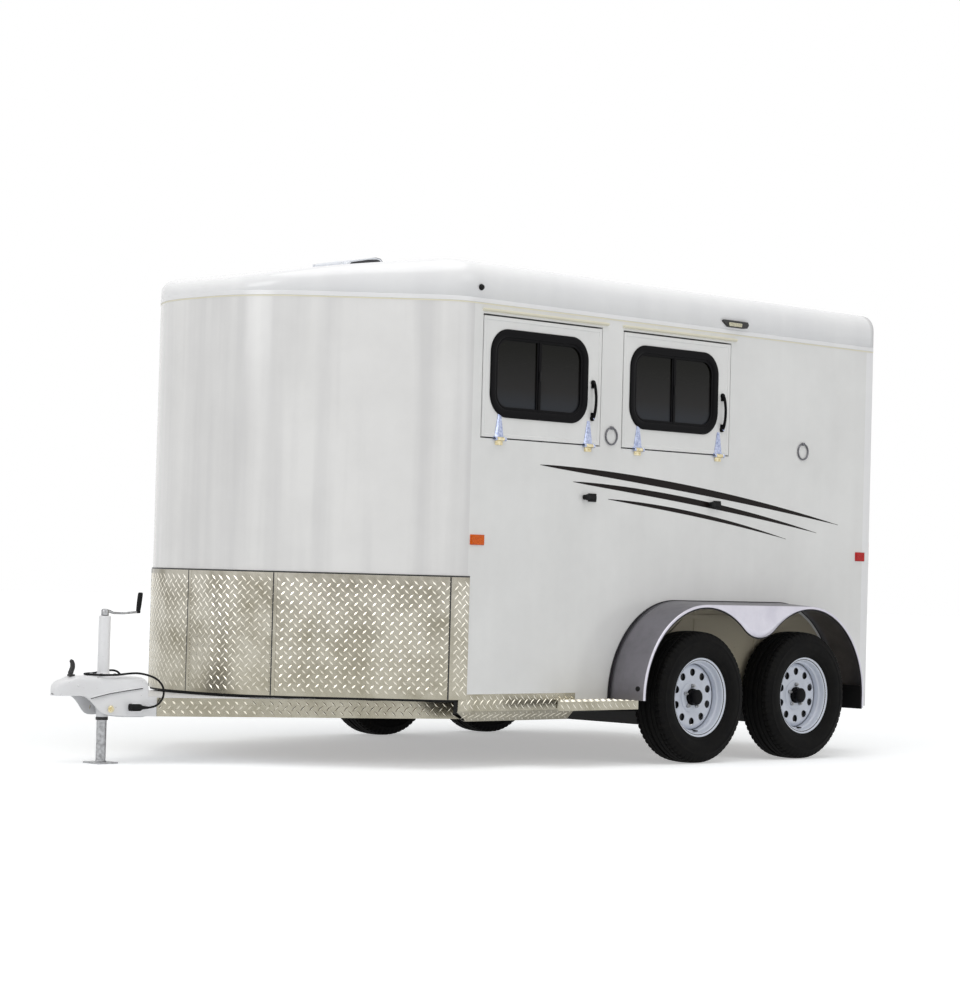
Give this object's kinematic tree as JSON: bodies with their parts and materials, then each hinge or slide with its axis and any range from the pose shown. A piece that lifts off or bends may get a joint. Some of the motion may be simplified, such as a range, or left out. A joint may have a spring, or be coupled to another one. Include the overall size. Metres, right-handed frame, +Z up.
{
  "type": "horse trailer",
  "caption": "Enclosed tandem-axle horse trailer with a V nose, drop-down feed doors, rear doors, a side dressing-room door, fenders, running boards, tongue, coupler and jack.",
  "frame": {"origin": "on the ground, on the centre plane, half way between the coupler's tip and the rear bumper", "axes": "+X forward to the coupler, +Y to the trailer's left side, +Z up"},
  "size_m": [4.894, 2.596, 2.5713],
  "materials": {
    "white_paint": "gloss",
    "frame_paint": "satin",
    "black_paint": "satin",
    "tread_plate": "polished",
    "fender_alloy": "satin",
    "bright_metal": "polished",
    "zinc": "satin",
    "wheel_white": "satin",
    "window_frame": "matt",
    "tinted_glass": "clear",
    "tyre_rubber": "matt",
    "black_rubber": "matt",
    "floor_wood": "matt",
    "lamp_plastic": "gloss",
    "vent_plastic": "satin"
  },
  "bodies": {
    "trailer_body": {"main_rails": "frame_paint", "cross_members": "frame_paint", "tongue_frame": "frame_paint", "tongue_covers": "tread_plate", "coupler": "frame_paint", "coupler_latch": "black_paint", "jack_tube": "frame_paint", "floor": "floor_wood", "side_wall_left": "white_paint", "side_wall_right": "white_paint", "nose_shell": "white_paint", "roof_shell": "white_paint", "rear_frame": "white_paint", "gravel_guard": "tread_plate", "side_skirts": "tread_plate", "running_boards": "tread_plate", "fenders": "fender_alloy", "mud_flaps": "black_rubber", "axles": "black_paint", "bulkhead": "white_paint", "vent_base": "vent_plastic", "hinge_leaves": "bright_metal", "lamps": "lamp_plastic", "wall_fittings": "bright_metal", "drip_rails": "bright_metal", "trailer_lead": "black_rubber", "lead_plug": "black_rubber", "lead_fittings": "frame_paint", "rump_window_frames": "window_frame", "rump_window_glass": "tinted_glass", "rear_bumper": "black_rubber"},
    "hatch_front": {"hatch_front_panel": "white_paint", "hatch_front_glass": "tinted_glass", "hatch_front_fittings": "window_frame"},
    "hatch_rear": {"hatch_rear_panel": "white_paint", "hatch_rear_glass": "tinted_glass", "hatch_rear_fittings": "window_frame"},
    "rear_door_left": {"rear_door_left_panel": "white_paint", "rear_door_left_glass": "tinted_glass", "rear_door_left_fittings": "window_frame"},
    "rear_door_right": {"rear_door_right_panel": "white_paint", "rear_door_right_glass": "tinted_glass", "rear_door_right_fittings": "window_frame"},
    "tack_door": {"tack_door_panel": "white_paint", "tack_door_glass": "tinted_glass", "tack_door_fittings": "window_frame"},
    "vent": {"vent_lid": "vent_plastic"},
    "jack_foot": {"jack_leg": "zinc"},
    "jack_handle": {"jack_crank": "zinc"},
    "wheelset_front_left": {"tyre_front_left": "tyre_rubber", "wheel_front_left": "wheel_white"},
    "wheelset_front_right": {"tyre_front_right": "tyre_rubber", "wheel_front_right": "wheel_white"},
    "wheelset_rear_left": {"tyre_rear_left": "tyre_rubber", "wheel_rear_left": "wheel_white"},
    "wheelset_rear_right": {"tyre_rear_right": "tyre_rubber", "wheel_rear_right": "wheel_white"}
  },
  "joints": [
    {"name": "hatch_front_hinge", "type": "hinge", "parent": "trailer_body", "child": "hatch_front", "pos_m": [0.2955, 1.076, 1.61], "axis": [-1, 0, 0], "range_deg": [0, 165]},
    {"name": "hatch_rear_hinge", "type": "hinge", "parent": "trailer_body", "child": "hatch_rear", "pos_m": [-0.7165, 1.076, 1.61], "axis": [-1, 0, 0], "range_deg": [0, 165]},
    {"name": "rear_door_left_hinge", "type": "hinge", "parent": "trailer_body", "child": "rear_door_left", "pos_m": [-2.399, 0.998, 1.3], "axis": [0, 0, -1], "range_deg": [0, 180]},
    {"name": "rear_door_right_hinge", "type": "hinge", "parent": "trailer_body", "child": "rear_door_right", "pos_m": [-2.399, -0.998, 1.3], "axis": [0, 0, 1], "range_deg": [0, 180]},
    {"name": "tack_door_hinge", "type": "hinge", "parent": "trailer_body", "child": "tack_door", "pos_m": [0.652, -1.076, 1.3], "axis": [0, 0, 1], "range_deg": [0, 170]},
    {"name": "vent_lid_hinge", "type": "hinge", "parent": "trailer_body", "child": "vent", "pos_m": [0.797, 0, 2.5095], "axis": [0, 1, 0], "range_deg": [0, 50]},
    {"name": "jack_leg_slide", "type": "slide", "parent": "trailer_body", "child": "jack_foot", "axis": [0, 0, 1], "range_m": [-0.05, 0.19]},
    {"name": "jack_crank_turn", "type": "hinge", "parent": "trailer_body", "child": "jack_handle", "pos_m": [2.148, 0, 0.7], "axis": [0, 0, 1], "continuous": true},
    {"name": "wheel_front_left_spin", "type": "hinge", "parent": "trailer_body", "child": "wheelset_front_left", "pos_m": [-0.732, 1.184, 0.3415], "axis": [0, 1, 0], "continuous": true},
    {"name": "wheel_front_right_spin", "type": "hinge", "parent": "trailer_body", "child": "wheelset_front_right", "pos_m": [-0.732, -1.184, 0.3415], "axis": [0, 1, 0], "continuous": true},
    {"name": "wheel_rear_left_spin", "type": "hinge", "parent": "trailer_body", "child": "wheelset_rear_left", "pos_m": [-1.585, 1.184, 0.3415], "axis": [0, 1, 0], "continuous": true},
    {"name": "wheel_rear_right_spin", "type": "hinge", "parent": "trailer_body", "child": "wheelset_rear_right", "pos_m": [-1.585, -1.184, 0.3415], "axis": [0, 1, 0], "continuous": true}
  ]
}
